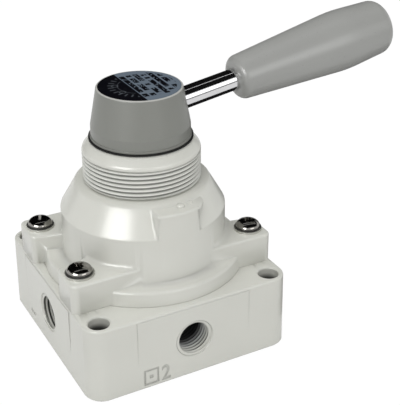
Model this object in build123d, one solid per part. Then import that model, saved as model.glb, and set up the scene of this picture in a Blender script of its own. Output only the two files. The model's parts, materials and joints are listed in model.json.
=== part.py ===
from build123d import *
import os
from math import asin, cos, degrees, radians, sin, sqrt, tan

# Hand lever air valve: four side ports in a square base, a domed bonnet with a threaded
# panel neck, a rotary disc valve inside and a tilted lever on top. Millimetres.
# Origin: centre of the base's underside. +Z up, +X along the lever at mid position,
# the port face with the indicator pad above it looks along -Y.

# ---------------------------------------------------------------- clearances
RUNNING_GAP = 0.05        # radial, turning fits
SEAT_GAP = 0.02           # radial, pieces that are put together and stay
RECESS_GAP = 0.1          # radial, seat plate in its recess
SCREW_GAP = 0.25          # radial, screw in its clearance hole
FACE_GAP = 0.25           # between a moving and a standing face that don't seal

# ---------------------------------------------------------------- base
BASE_X = 75.0
BASE_Y = 75.7
BASE_H = 27.2
BASE_CORNER_R = 6.5
BASE_EDGE_R = 0.8
BASE_DRAFT_DEG = 1.0
BASE_FOOT_CHAMFER = 0.5

MOUNT_X = 63.0            # mounting hole spacing
MOUNT_Y = 64.4
MOUNT_HOLE_R = 3.5
MOUNT_MOUTH_C = 0.45      # chamfer of the mouth

PORT_Z = 13.9
PORT_R = 6.58             # Rc 1/4, on its major diameter
PORT_DEPTH = 12.0
PORT_CHAMFER = 0.35
PORT_DRILL_R = 4.0
PORT_FLAT_W = 41.4        # width of the upright flat that each port opens in
PORT_FLAT_LOW = 9.0       # height at which that flat leaves the drafted side
GALLERY_RADIUS = 14.0     # pitch radius of the four rising passages
GALLERY_R = 3.2

# ---------------------------------------------------------------- valve seat
SEAT_R = 24.0
SEAT_T = 3.0
GASKET_T = 0.8
DOWEL_R = 1.5
DOWEL_L = 5.0
DOWEL_RADIUS = 20.3
DOWEL_DEG = 45.0
BODY_SEAL_RADIUS = 26.4   # mean radius of the o-ring between base and bonnet
BODY_SEAL_SECTION_R = 0.75
BODY_SEAL_SQUEEZE = 0.15

# ---------------------------------------------------------------- bonnet
DISC_R = 34.3
DISC_FLARE = 0.6          # how much wider the disc's foot is
DISC_H = 5.3              # above the base
DISC_EDGE_R = 1.2
DOME_R = 28.3
SHOULDER_H = 20.9         # above the base
SHOULDER_EDGE_R = 1.0
CONE_H = 8.9              # above the shoulder
CONE_TOP_R = 23.2
NECK_FOOT_H = 1.0         # height of the small cone under the neck
NECK_R = 20.0             # M40 x 1.5 on its major diameter
NECK_L = 14.8
NECK_BEVEL_W = 2.9        # bevel round the neck's top
NECK_BEVEL_H = 3.4
NECK_BEVEL_BLEND = 2.5    # radius that joins it to the wall
NECK_RELIEF_R = 19.0
NECK_RELIEF_W = 0.9
DOME_FOOT_R = 2.0         # hollow rounding where the dome meets the ears
EAR_H = 10.5              # above the base
EAR_X = 74.0              # across the ears
EAR_Y = 50.0
EAR_CORNER_R = 2.5
EAR_EDGE_R = 0.8
NOTCH_Y = 23.0            # gap between two ears of a side, at their outer ends
NOTCH_INNER_Y = 18.4      # the same gap at the dome
NOTCH_DEPTH = 11.0
NOTCH_CORNER_R = 2.0
PAD_X = 14.8              # indicator pad on the dome's shoulder
PAD_RISE = 8.4            # above the shoulder
PAD_EDGE_R = 0.8
CAVITY_R = 23.4
CAVITY_H = 18.8           # ceiling above the base

# ---------------------------------------------------------------- cover screws
SCREW_X = 63.0
SCREW_Y = 36.2
SCREW_R = 2.5
SCREW_L = 25.0
SCREW_HEAD_R = 4.3
SCREW_HEAD_H = 2.8
SCREW_HEAD_RIM_H = 1.25    # upright rim under the head's cap
SCREW_HEAD_TOP_R = 2.65
SCREW_TIP_C = 0.75
WASHER_R = 4.8
WASHER_T = 0.8

# ---------------------------------------------------------------- spindle and rotor
ROTOR_R = 21.5
ROTOR_T = 6.0
ROTOR_CHAMFER = 0.6
KIDNEY_DEPTH = 3.6
KIDNEY_HALF_DEG = 45.0
SPINDLE_R = 6.0
PILOT_R = 4.0
PILOT_DEPTH = 3.5
CARRIER_R = 19.5
CARRIER_T = 8.0
DRIVE_PIN_RADIUS = 14.5
DRIVE_PIN_DEG = 90.0
DRIVE_PIN_R = 2.0
DRIVE_PIN_HOLD = 5.4      # how far the pins are pressed into the carrier
DRIVE_PIN_REACH = 3.65    # how far they stand in the rotor
SPRING_RADIUS = 6.9
SPRING_WIRE = 1.3
SPRING_TURNS = 3.0
SPRING_POCKET_DEPTH = 5.0
THRUST_R = 10.4
THRUST_T = 2.35

# ---------------------------------------------------------------- detent and stop
PLATE_R = 23.2
PLATE_T = 1.6
PLATE_BORE_R = 11.2
DETENT_STEP_DEG = 45.0
POCKET_R = 1.2
BALL_R = 2.0
BALL_RADIUS = 14.5
BALL_DEG = 0.0
BALL_BORE_FLOOR = 0.8     # carrier left under the ball's bore
BALL_SPRING_RADIUS = 1.45
BALL_SPRING_WIRE = 0.45
BALL_SPRING_TURNS = 3.5
STOP_PIN_R = 1.5
STOP_PIN_RADIUS = 19.2
STOP_PIN_DEG = 90.0
STOP_PIN_REACH = 7.4      # below the ceiling
STOP_PIN_SUNK = 4.0
PLATE_SCREW_R = 1.5
PLATE_SCREW_HEAD_R = 2.7
PLATE_SCREW_L = 7.0
PLATE_SCREW_RADIUS = 19.5
PLATE_SCREW_DEG = 112.5
PLATE_SCREW_SLOT_W = 0.7
PLATE_SCREW_SLOT_DEPTH = 0.6

# ---------------------------------------------------------------- neck bearing
BUSH_R = 8.0
BUSH_SUNK = 3.0           # above the ceiling
BUSH_L = 10.0
SHAFT_SEAL_DOWN = 7.8     # below the neck's top
SHAFT_SEAL_SECTION_R = 0.9
SHAFT_SEAL_SQUEEZE = 0.1
DUST_RING_R = 16.2
DUST_RING_BORE_R = 9.0
DUST_RING_T = 1.0
DUST_RING_SUNK = 0.7

# ---------------------------------------------------------------- hub
HUB_R = 16.7
HUB_SKIRT_R = 17.0
HUB_SKIRT_H = 0.8
HUB_CYLINDER_H = 4.05     # from the hub's foot to its cone
HUB_TOP_R = 14.35
HUB_H = 17.0
HUB_EDGE_C = 0.35         # chamfer of the top edge
SQUARE_W = 9.0            # driving square of the spindle
SQUARE_L = 9.85
HUB_RECESS_R = 6.5
HUB_CLAMP_GAP = 0.4       # hub above the square, so that the screw clamps it
HUB_WASHER_R = 6.0
HUB_WASHER_T = 1.0
HUB_SCREW_R = 2.5
HUB_SCREW_L = 12.0
HUB_SCREW_HEAD_R = 4.25
HUB_SCREW_HEAD_H = 3.0
HUB_SCREW_KEY_R = 2.0     # across the corners of its hexagon socket, halved
HUB_SCREW_KEY_DEPTH = 1.8
LABEL_R = 13.7
LABEL_T = 0.5

# ---------------------------------------------------------------- lever
LEVER_H = 7.05            # above the hub's foot, where the rod's axis meets the spindle's
LEVER_TILT_DEG = 9.3
ROD_R = 3.75
ROD_START = 8.4           # along the rod, from the spindle's axis
ROD_THREAD_R = 3.0
ROD_THREAD_L = 5.0
ROD_L = 69.6
ROD_CHAMFER = 0.75
KNOB_START = 36.1         # along the rod, as above
KNOB_L = 62.7
KNOB_START_R = 7.6
KNOB_MAX_L = 43.4         # from the start to the widest ring
KNOB_MAX_R = 10.95
KNOB_MAX_BLEND = 60.0
KNOB_END_R = 9.6
KNOB_START_FILLET = 3.0
KNOB_END_FILLET = 4.3
INSERT_R = 5.2
INSERT_L = 16.0

PRESSED_FLAT = 0.5        # share of a pressed o-ring's section that lies flat
DRILL_TIP_DEG = 30.0      # slope of a drilled hole's end
HALF_TURN = 180.0
QUARTER_TURN = 90.0


def column(radius, low, high, x=0.0, y=0.0):
    """A round column between two heights."""
    shape = Cylinder(radius, high - low, align=(Align.CENTER, Align.CENTER, Align.MIN))
    return Pos(x, y, low) * shape


def turned(points):
    """A closed outline of (radius, height) turned about Z; a third number rounds that corner."""
    outline = make_face(Polyline([point[:2] for point in points], close=True))
    for point in points:
        if len(point) == 3:
            corner = outline.vertices().sort_by_distance(point[:2])[0]
            outline = fillet(corner, point[2])
    return revolve(Plane.XZ * outline, Axis.Z)


def ring(outer, inner, low, high):
    """A flat ring."""
    return turned([(inner, low), (outer, low), (outer, high), (inner, high)])


def corner_places(span_x, span_y):
    """The four corners of a centred rectangle."""
    return [(sx * span_x / 2, sy * span_y / 2) for sx in (-1, 1) for sy in (-1, 1)]


def polar(radius, angle_deg):
    """A point on a circle about Z."""
    return radius * cos(radians(angle_deg)), radius * sin(radians(angle_deg))


def circle_edges(solid, height, radius):
    """The solid's round edges at one height that have one radius."""
    rounds = solid.edges().filter_by(GeomType.CIRCLE)
    return [
        edge for edge in rounds
        if abs(edge.center(CenterOf.BOUNDING_BOX).Z - height) < 0.01 and abs(edge.radius - radius) < 0.01
    ]


# ---------------------------------------------------------------- heights that follow
SEAT_LOW = BASE_H - SEAT_T
GASKET_LOW = SEAT_LOW - GASKET_T
RECESS_R = SEAT_R + RECESS_GAP
DISC_TOP = BASE_H + DISC_H
EAR_TOP = BASE_H + EAR_H
WASHER_TOP = EAR_TOP + WASHER_T
SHOULDER_Z = BASE_H + SHOULDER_H
CONE_TOP_Z = SHOULDER_Z + CONE_H
NECK_FOOT_Z = CONE_TOP_Z + NECK_FOOT_H
NECK_TOP = NECK_FOOT_Z + NECK_L
CEILING_Z = BASE_H + CAVITY_H
PLATE_LOW = CEILING_Z - PLATE_T
BALL_Z = PLATE_LOW - RUNNING_GAP - BALL_R
BUSH_LOW = CEILING_Z + BUSH_SUNK
SHAFT_SEAL_Z = NECK_TOP - SHAFT_SEAL_DOWN
STOP_PIN_LOW = CEILING_Z - STOP_PIN_REACH

ROTOR_LOW = BASE_H + RUNNING_GAP
ROTOR_TOP = ROTOR_LOW + ROTOR_T
CARRIER_TOP = CEILING_Z - THRUST_T - RUNNING_GAP
CARRIER_LOW = CARRIER_TOP - CARRIER_T
DRIVE_PIN_TOP = CARRIER_LOW + DRIVE_PIN_HOLD
DRIVE_PIN_LOW = ROTOR_TOP - DRIVE_PIN_REACH
SPRING_POCKET_Z = CARRIER_LOW + SPRING_POCKET_DEPTH
BALL_BORE_LOW = CARRIER_LOW + BALL_BORE_FLOOR

HUB_LOW = NECK_TOP - DUST_RING_SUNK + DUST_RING_T + FACE_GAP
HUB_CONE_Z = HUB_LOW + HUB_CYLINDER_H
HUB_TOP = HUB_LOW + HUB_H
SQUARE_TOP = HUB_LOW + SQUARE_L
HUB_RECESS_LOW = SQUARE_TOP + HUB_CLAMP_GAP
HUB_WASHER_TOP = HUB_RECESS_LOW + HUB_WASHER_T
LEVER_Z = HUB_LOW + LEVER_H
ROD_END = ROD_START + ROD_L
KNOB_END = KNOB_START + KNOB_L
KNOB_MAX_S = KNOB_START + KNOB_MAX_L


# ---------------------------------------------------------------- housing
def base_body():
    """Drafted block with four port flats, tapped ports, galleries and the seat recess."""
    plan = RectangleRounded(BASE_X, BASE_Y, BASE_CORNER_R)
    block = extrude(plan, BASE_H, taper=BASE_DRAFT_DEG)
    block = fillet(block.faces().sort_by(Axis.Z)[-1].edges(), BASE_EDGE_R)
    block = chamfer(block.faces().sort_by(Axis.Z)[0].edges(), BASE_FOOT_CHAMFER)

    flat_low = PORT_Z - PORT_R
    for across, along in ((BASE_X, 0.0), (BASE_Y, QUARTER_TURN)):
        flat = Box(
            2 * face_reach(across), PORT_FLAT_W, BASE_H - BASE_EDGE_R - flat_low,
            align=(Align.CENTER, Align.CENTER, Align.MIN),
        )
        block += Pos(0, 0, flat_low) * Rot(0, 0, along) * flat

    for x, y in corner_places(MOUNT_X, MOUNT_Y):
        block -= column(MOUNT_HOLE_R, 0, BASE_H, x, y)
    block = chamfer(circle_edges(block, BASE_H, MOUNT_HOLE_R), MOUNT_MOUTH_C)

    for quarter in range(4):
        reach = face_reach(BASE_X if quarter % 2 == 0 else BASE_Y)
        block -= Rot(0, 0, quarter * QUARTER_TURN) * port_cut(reach)

    block -= column(RECESS_R, GASKET_LOW, BASE_H)
    for turn in (0, HALF_TURN):
        x, y = polar(DOWEL_RADIUS, DOWEL_DEG + turn)
        block -= column(DOWEL_R + SEAT_GAP, dowel_low(), BASE_H, x, y)
    for x, y in corner_places(SCREW_X, SCREW_Y):
        block -= column(SCREW_R + SEAT_GAP, screw_low() - SCREW_R, BASE_H, x, y)
    return block - seal_groove()


def face_reach(width):
    """How far a port's upright flat stands from the middle of a base this wide."""
    return width / 2 - PORT_FLAT_LOW * tan(radians(BASE_DRAFT_DEG))


def port_cut(reach):
    """One tapped port along +X with its drilling inwards and its rising passage."""
    mouth = PORT_R + PORT_CHAMFER
    outside = reach + 1
    floor = reach - PORT_DEPTH
    drill_point = PORT_DRILL_R * tan(radians(DRILL_TIP_DEG))
    outline = [
        (0, outside), (mouth, outside), (mouth, reach), (PORT_R, reach - PORT_CHAMFER), (PORT_R, floor),
        (PORT_DRILL_R, floor - (PORT_R - PORT_DRILL_R) * tan(radians(DRILL_TIP_DEG))),
        (PORT_DRILL_R, GALLERY_RADIUS),
        (0, GALLERY_RADIUS - drill_point),
    ]
    along_x = Pos(0, 0, PORT_Z) * Rot(0, QUARTER_TURN, 0) * turned(outline)
    return along_x + column(GALLERY_R, PORT_Z, BASE_H, GALLERY_RADIUS, 0)


def seal_groove():
    """The groove of the o-ring in the base's top face."""
    half = BODY_SEAL_SECTION_R + BODY_SEAL_SQUEEZE
    return ring(BODY_SEAL_RADIUS + half, BODY_SEAL_RADIUS - half, BASE_H - body_seal_depth(), BASE_H)


def body_seal_depth():
    """How deep the o-ring's groove is: less than its section, so that the bonnet presses it."""
    return 2 * BODY_SEAL_SECTION_R - BODY_SEAL_SQUEEZE


def pressed_ring(radius, z, half_width, half_height):
    """An o-ring's eight-sided section, with flats where its groove and the facing wall press it."""
    rim = PRESSED_FLAT * half_width
    side = PRESSED_FLAT * half_height
    return turned([
        (radius + half_width, z - side), (radius + half_width, z + side), (radius + rim, z + half_height),
        (radius - rim, z + half_height), (radius - half_width, z + side), (radius - half_width, z - side),
        (radius - rim, z - half_height), (radius + rim, z - half_height),
    ])


def body_o_ring():
    """The o-ring between base and bonnet."""
    half_height = body_seal_depth() / 2
    return pressed_ring(BODY_SEAL_RADIUS, BASE_H - half_height, BODY_SEAL_SECTION_R, half_height)


def bonnet():
    """Dome on a disc with four screw ears, shoulder cone, panel neck and the inner chamber."""
    disc = turned([
        (0, BASE_H), (DISC_R + DISC_FLARE, BASE_H), (DISC_R, DISC_TOP, DISC_EDGE_R), (0, DISC_TOP),
    ])
    dome = turned([
        (0, BASE_H), (DOME_R, BASE_H), (DOME_R, SHOULDER_Z, SHOULDER_EDGE_R), (CONE_TOP_R, CONE_TOP_Z),
        (CONE_TOP_R - NECK_FOOT_H, NECK_FOOT_Z), (0, NECK_FOOT_Z),
    ])
    shell = dome + indicator_pad() + disc + ear_block() + ear_feet()
    shell += neck()
    shell -= column(CAVITY_R, BASE_H, CEILING_Z)
    shell -= column(SPINDLE_R + RUNNING_GAP, CEILING_Z, NECK_TOP)
    shell -= column(BUSH_R, CEILING_Z, BUSH_LOW + BUSH_L)
    shell -= column(DUST_RING_R + SEAT_GAP, NECK_TOP - DUST_RING_SUNK, NECK_TOP)
    for x, y in corner_places(SCREW_X, SCREW_Y):
        shell -= column(SCREW_R + SCREW_GAP, BASE_H, EAR_TOP, x, y)
    x, y = polar(STOP_PIN_RADIUS, STOP_PIN_DEG)
    shell -= column(STOP_PIN_R + SEAT_GAP, CEILING_Z, CEILING_Z + STOP_PIN_SUNK, x, y)
    for turn in (0, HALF_TURN):
        x, y = polar(PLATE_SCREW_RADIUS, PLATE_SCREW_DEG + turn)
        shell -= column(PLATE_SCREW_R + SEAT_GAP, CEILING_Z, plate_screw_top(), x, y)
    return shell


def ear_plan(inset=0.0):
    """The outline of the four ears with a notch at each side, drawn in by an inset."""
    end_x = EAR_X / 2 - inset
    end_y = NOTCH_Y / 2 + inset
    inner_x = EAR_X / 2 - NOTCH_DEPTH
    inner_y = NOTCH_INNER_Y / 2 + inset
    plan = RectangleRounded(2 * end_x, EAR_Y - 2 * inset, EAR_CORNER_R - inset)
    border = Polyline((inner_x, -inner_y), (end_x, -end_y), (end_x, end_y), (inner_x, inner_y), close=True)
    notch = make_face(border)
    plan -= notch
    plan -= mirror(notch, Plane.YZ)
    tips = [corner for corner in plan.vertices() if abs(abs(corner.Y) - end_y) < 0.01]
    return fillet(tips, NOTCH_CORNER_R - inset)


def ear_block():
    """The four screw ears as one plate."""
    block = Pos(0, 0, BASE_H) * extrude(ear_plan(), EAR_TOP - BASE_H)
    return fillet(block.faces().sort_by(Axis.Z)[-1].edges(), EAR_EDGE_R)


def ear_feet():
    """The hollow rounding where the dome's wall runs out onto the ears."""
    out = DOME_R + DOME_FOOT_R
    top = EAR_TOP + DOME_FOOT_R
    hollow = CenterArc((out, top), DOME_FOOT_R, HALF_TURN, QUARTER_TURN)
    inside = DOME_R - 1
    border = Polyline(
        (out, EAR_TOP), (out, EAR_TOP - 1), (inside, EAR_TOP - 1), (inside, top), (DOME_R, top),
    )
    collar = revolve(make_face(Plane.XZ * (hollow + border)), Axis.Z)
    reach = Pos(0, 0, EAR_TOP - 1) * extrude(ear_plan(EAR_EDGE_R), DOME_FOOT_R + 1)
    return collar & reach


def indicator_pad():
    """The flat that carries the position mark, where the dome's wall runs on upwards."""
    foot = SHOULDER_Z - SHOULDER_EDGE_R
    top = SHOULDER_Z + PAD_RISE
    tower = turned([(0, foot), (DOME_R, foot), (DOME_R, top, PAD_EDGE_R), (0, top)])
    slab = Box(PAD_X, DOME_R, top, align=(Align.CENTER, Align.MAX, Align.MIN))
    return tower & slab


def neck():
    """The panel neck with its relief at the foot and a bevelled top."""
    relief_top = NECK_FOOT_Z + NECK_RELIEF_W
    return turned([
        (0, CONE_TOP_Z), (NECK_RELIEF_R, CONE_TOP_Z), (NECK_RELIEF_R, relief_top),
        (NECK_R, relief_top), (NECK_R, NECK_TOP - NECK_BEVEL_H, NECK_BEVEL_BLEND),
        (NECK_R - NECK_BEVEL_W, NECK_TOP), (0, NECK_TOP),
    ])


def screw_low():
    """The height of the cover screws' tips."""
    return WASHER_TOP - SCREW_L


def cover_screws():
    """Pan head screws, one in each ear."""
    return [Pos(x, y, WASHER_TOP) * pan_screw() for x, y in corner_places(SCREW_X, SCREW_Y)]


def pan_screw():
    """One pan head screw, its head's underside at the origin."""
    return turned([
        (0, -SCREW_L), (SCREW_R - SCREW_TIP_C, -SCREW_L), (SCREW_R, SCREW_TIP_C - SCREW_L), (SCREW_R, 0),
        (SCREW_HEAD_R, 0), (SCREW_HEAD_R, SCREW_HEAD_RIM_H), (SCREW_HEAD_TOP_R, SCREW_HEAD_H),
        (0, SCREW_HEAD_H),
    ])


def screw_washers():
    """A plain washer under each cover screw's head."""
    one = ring(WASHER_R, SCREW_R + SCREW_GAP, EAR_TOP, WASHER_TOP)
    return [Pos(x, y, 0) * one for x, y in corner_places(SCREW_X, SCREW_Y)]


# ---------------------------------------------------------------- seat
def seat_disc(thickness, low):
    """A disc with the four gallery holes and the two dowel holes."""
    disc = column(SEAT_R, low, low + thickness)
    for quarter in range(4):
        x, y = polar(GALLERY_RADIUS, quarter * QUARTER_TURN)
        disc -= column(GALLERY_R, low, low + thickness, x, y)
    for turn in (0, HALF_TURN):
        x, y = polar(DOWEL_RADIUS, DOWEL_DEG + turn)
        disc -= column(DOWEL_R + SEAT_GAP, low, low + thickness, x, y)
    return disc


def dowel_low():
    """The height of the seat dowels' lower ends."""
    return BASE_H - DOWEL_L


def seat_dowels():
    """Two pins that keep the seat plate from turning."""
    pins = []
    for turn in (0, HALF_TURN):
        x, y = polar(DOWEL_RADIUS, DOWEL_DEG + turn)
        pin = column(DOWEL_R, dowel_low(), BASE_H - SEAT_GAP, x, y)
        pins.append(pin)
    return pins


# ---------------------------------------------------------------- rotor
def valve_rotor():
    """The rotary disc: two kidney channels below, spring seat and pilot bore above."""
    disc = column(ROTOR_R, ROTOR_LOW, ROTOR_TOP)
    for turn in (0, HALF_TURN):
        disc -= Pos(0, 0, ROTOR_LOW) * Rot(0, 0, turn) * kidney()
    disc -= column(PILOT_R + RUNNING_GAP, ROTOR_TOP - PILOT_DEPTH - FACE_GAP, ROTOR_TOP)
    for turn in (0, HALF_TURN):
        x, y = polar(DRIVE_PIN_RADIUS, DRIVE_PIN_DEG + turn)
        disc -= column(DRIVE_PIN_R + RUNNING_GAP, DRIVE_PIN_LOW - FACE_GAP, ROTOR_TOP, x, y)
    return chamfer(circle_edges(disc, ROTOR_TOP, ROTOR_R), ROTOR_CHAMFER)


def kidney():
    """An arc channel with round ends that joins two neighbouring galleries."""
    outer = GALLERY_RADIUS + GALLERY_R
    inner = GALLERY_RADIUS - GALLERY_R
    sector = ring(outer, inner, 0, KIDNEY_DEPTH) & wedge(outer * 2, 2 * KIDNEY_HALF_DEG, KIDNEY_DEPTH)
    for side in (-1, 1):
        x, y = polar(GALLERY_RADIUS, side * KIDNEY_HALF_DEG)
        sector += column(GALLERY_R, 0, KIDNEY_DEPTH, x, y)
    return sector


def wedge(reach, angle_deg, height):
    """A pie slice centred on +X."""
    x, y = polar(reach, angle_deg / 2)
    slice_face = make_face(Polyline((0, 0), (x, -y), (x, y), close=True))
    return extrude(slice_face, height)


def drive_pins():
    """Two pins that turn the rotor with the spindle's carrier."""
    pins = []
    for turn in (0, HALF_TURN):
        x, y = polar(DRIVE_PIN_RADIUS, DRIVE_PIN_DEG + turn)
        pins.append(column(DRIVE_PIN_R, DRIVE_PIN_LOW, DRIVE_PIN_TOP, x, y))
    return pins


def coil(radius, wire, low, high, turns):
    """An open coil spring of square wire about Z that just reaches two heights."""
    height = high - low - wire
    path = Pos(0, 0, low + wire / 2) * Helix(height / turns, height, radius)
    start = Plane(origin=path @ 0, x_dir=(1, 0, 0), z_dir=path % 0)
    section = start * Rectangle(wire, wire)
    return sweep(section, path, is_frenet=True) & ring(radius + wire, radius - wire, low, high)


def rotor_spring():
    """The spring that holds the rotor on its seat."""
    return coil(SPRING_RADIUS, SPRING_WIRE, ROTOR_TOP, SPRING_POCKET_Z, SPRING_TURNS)


# ---------------------------------------------------------------- spindle
def spindle():
    """Shaft with a thick carrier below and a driving square above."""
    body = turned([
        (0, ROTOR_TOP - PILOT_DEPTH), (PILOT_R, ROTOR_TOP - PILOT_DEPTH), (PILOT_R, SPRING_POCKET_Z),
        (spring_pocket_r(), SPRING_POCKET_Z), (spring_pocket_r(), CARRIER_LOW), (CARRIER_R, CARRIER_LOW),
        (CARRIER_R, CARRIER_TOP), (SPINDLE_R, CARRIER_TOP), (SPINDLE_R, HUB_LOW), (0, HUB_LOW),
    ])
    square = Rectangle(SQUARE_W, SQUARE_W) & Circle(SPINDLE_R)
    body += Pos(0, 0, HUB_LOW) * extrude(square, SQUARE_TOP - HUB_LOW)
    for turn in (0, HALF_TURN):
        x, y = polar(DRIVE_PIN_RADIUS, DRIVE_PIN_DEG + turn)
        body -= column(DRIVE_PIN_R + SEAT_GAP, CARRIER_LOW, DRIVE_PIN_TOP, x, y)
    x, y = polar(BALL_RADIUS, BALL_DEG)
    body -= column(BALL_R + RUNNING_GAP, BALL_BORE_LOW, CARRIER_TOP, x, y)
    body -= shaft_seal_groove()
    body -= stop_slot()
    body -= column(HUB_SCREW_R + SEAT_GAP, hub_screw_low() - HUB_SCREW_R, SQUARE_TOP)
    return body


def spring_pocket_r():
    """The radius of the pocket that the rotor spring sits in."""
    return SPRING_RADIUS + SPRING_WIRE / 2 + FACE_GAP


def stop_slot():
    """The arc cut in the carrier's rim that the stop pin runs in."""
    pin_half = degrees(asin((STOP_PIN_R + RUNNING_GAP) / STOP_PIN_RADIUS))
    inner = STOP_PIN_RADIUS - STOP_PIN_R - FACE_GAP
    low = STOP_PIN_LOW - FACE_GAP
    half = DETENT_STEP_DEG + pin_half
    height = CARRIER_TOP - low
    outer = CARRIER_R + 1
    arc = ring(outer, inner, 0, height) & wedge(2 * outer / cos(radians(half)), 2 * half, height)
    return Pos(0, 0, low) * Rot(0, 0, STOP_PIN_DEG) * arc


def shaft_seal_bottom():
    """The radius at the bottom of the shaft o-ring's groove."""
    return SPINDLE_R + RUNNING_GAP - 2 * SHAFT_SEAL_SECTION_R + SHAFT_SEAL_SQUEEZE


def shaft_seal_groove():
    """The groove of the shaft's o-ring."""
    half = SHAFT_SEAL_SECTION_R + SHAFT_SEAL_SQUEEZE
    return ring(SPINDLE_R + 1, shaft_seal_bottom(), SHAFT_SEAL_Z - half, SHAFT_SEAL_Z + half)


def shaft_o_ring():
    """The o-ring in the spindle's groove, a hair clear of the neck's bore."""
    outer = SPINDLE_R + RUNNING_GAP - SEAT_GAP
    middle = (outer + shaft_seal_bottom()) / 2
    return pressed_ring(middle, SHAFT_SEAL_Z, outer - middle, SHAFT_SEAL_SECTION_R)


# ---------------------------------------------------------------- detent and stop
def plate_screw_top():
    """The height of the detent plate screws' tips."""
    return PLATE_LOW + PLATE_SCREW_L


def pocket_places():
    """The detent ball's three stops."""
    return [polar(BALL_RADIUS, BALL_DEG + stop) for stop in (-DETENT_STEP_DEG, 0.0, DETENT_STEP_DEG)]


def detent_plate():
    """Hardened plate under the bonnet's ceiling with the balls' pockets."""
    plate = ring(PLATE_R, PLATE_BORE_R, PLATE_LOW, CEILING_Z)
    for x, y in pocket_places():
        plate -= column(POCKET_R, PLATE_LOW, CEILING_Z, x, y)
    x, y = polar(STOP_PIN_RADIUS, STOP_PIN_DEG)
    plate -= column(STOP_PIN_R + SEAT_GAP, PLATE_LOW, CEILING_Z, x, y)
    for turn in (0, HALF_TURN):
        x, y = polar(PLATE_SCREW_RADIUS, PLATE_SCREW_DEG + turn)
        plate -= Pos(x, y, PLATE_LOW) * countersunk(SEAT_GAP)
    return plate


def countersunk(gap):
    """A flat-head screw that points up, its head's face at the origin, or with a gap its hole."""
    head_r = PLATE_SCREW_HEAD_R + gap
    shank_r = PLATE_SCREW_R + gap
    return turned([
        (0, 0), (head_r, 0), (shank_r, head_r - shank_r), (shank_r, PLATE_SCREW_L), (0, PLATE_SCREW_L),
    ])


def detent_plate_screws():
    """The two screws that hold the detent plate."""
    slot = Box(2 * PLATE_SCREW_HEAD_R, PLATE_SCREW_SLOT_W, 2 * PLATE_SCREW_SLOT_DEPTH)
    screws = []
    for turn in (0, HALF_TURN):
        x, y = polar(PLATE_SCREW_RADIUS, PLATE_SCREW_DEG + turn)
        screws.append(Pos(x, y, PLATE_LOW) * (countersunk(0) - slot))
    return screws


def detent_ball():
    """The detent ball, level with the plate's face."""
    x, y = polar(BALL_RADIUS, BALL_DEG)
    return Pos(x, y, BALL_Z) * Sphere(BALL_R)


def detent_spring():
    """The small spring under the ball, its top coil touching the ball."""
    edge = BALL_SPRING_RADIUS + BALL_SPRING_WIRE / 2
    high = BALL_Z - sqrt(BALL_R ** 2 - (edge - BALL_SPRING_WIRE) ** 2) - SEAT_GAP
    x, y = polar(BALL_RADIUS, BALL_DEG)
    return Pos(x, y, 0) * coil(BALL_SPRING_RADIUS, BALL_SPRING_WIRE, BALL_BORE_LOW, high, BALL_SPRING_TURNS)


def stop_pin():
    """The pin that ends the lever's travel each way."""
    x, y = polar(STOP_PIN_RADIUS, STOP_PIN_DEG)
    return column(STOP_PIN_R, STOP_PIN_LOW, CEILING_Z + STOP_PIN_SUNK, x, y)


# ---------------------------------------------------------------- neck
def thrust_washer():
    """The low-friction ring that takes the rotor spring's push."""
    return ring(THRUST_R, SPINDLE_R + RUNNING_GAP, CEILING_Z - THRUST_T, CEILING_Z)


def shaft_bush():
    """The plain bearing in the neck."""
    return ring(BUSH_R, SPINDLE_R + RUNNING_GAP / 2, BUSH_LOW, BUSH_LOW + BUSH_L)


def dust_ring():
    """The black wiper that closes the gap under the hub."""
    low = NECK_TOP - DUST_RING_SUNK
    return ring(DUST_RING_R, DUST_RING_BORE_R, low, low + DUST_RING_T)


# ---------------------------------------------------------------- hub
def lever_place(distance=0.0):
    """The lever's own frame: Z runs outwards along the rod from the spindle's axis."""
    along = Pos(0, 0, LEVER_Z) * Rot(0, QUARTER_TURN - LEVER_TILT_DEG, 0)
    return along * Pos(0, 0, distance)


def hub():
    """The turned hub: a short cylinder under a cone, with square hole, screw recess and rod socket."""
    body = turned([
        (0, HUB_LOW), (HUB_SKIRT_R, HUB_LOW), (HUB_SKIRT_R, HUB_LOW + HUB_SKIRT_H),
        (HUB_R, HUB_LOW + HUB_SKIRT_H), (HUB_R, HUB_CONE_Z), (HUB_TOP_R, HUB_TOP - HUB_EDGE_C),
        (HUB_TOP_R - HUB_EDGE_C, HUB_TOP), (0, HUB_TOP),
    ])
    body -= column(LABEL_R + SEAT_GAP, HUB_TOP - LABEL_T, HUB_TOP)
    body -= column(HUB_RECESS_R, HUB_RECESS_LOW, HUB_TOP)
    width = SQUARE_W + 2 * SEAT_GAP
    hole = Rectangle(width, width) & Circle(SPINDLE_R + SEAT_GAP)
    body -= Pos(0, 0, HUB_LOW) * extrude(hole, HUB_TOP - HUB_LOW)
    shoulder = ROD_START + ROD_THREAD_L
    body -= lever_place() * column(ROD_THREAD_R + SEAT_GAP, ROD_START - FACE_GAP, shoulder)
    body -= lever_place() * column(ROD_R + SEAT_GAP, shoulder, ROD_START + HUB_R)
    return body


def hub_washer():
    """The washer between hub screw and hub."""
    return ring(HUB_WASHER_R, HUB_SCREW_R + SCREW_GAP, HUB_RECESS_LOW, HUB_WASHER_TOP)


def hub_screw_low():
    """The height of the hub screw's tip."""
    return HUB_WASHER_TOP - HUB_SCREW_L


def hub_screw():
    """Socket head screw that holds the hub on the spindle."""
    screw = column(HUB_SCREW_R, hub_screw_low(), HUB_WASHER_TOP)
    top = HUB_WASHER_TOP + HUB_SCREW_HEAD_H
    screw += column(HUB_SCREW_HEAD_R, HUB_WASHER_TOP, top)
    socket = extrude(RegularPolygon(HUB_SCREW_KEY_R, 6), HUB_SCREW_KEY_DEPTH)
    return screw - Pos(0, 0, top - HUB_SCREW_KEY_DEPTH) * socket


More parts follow.
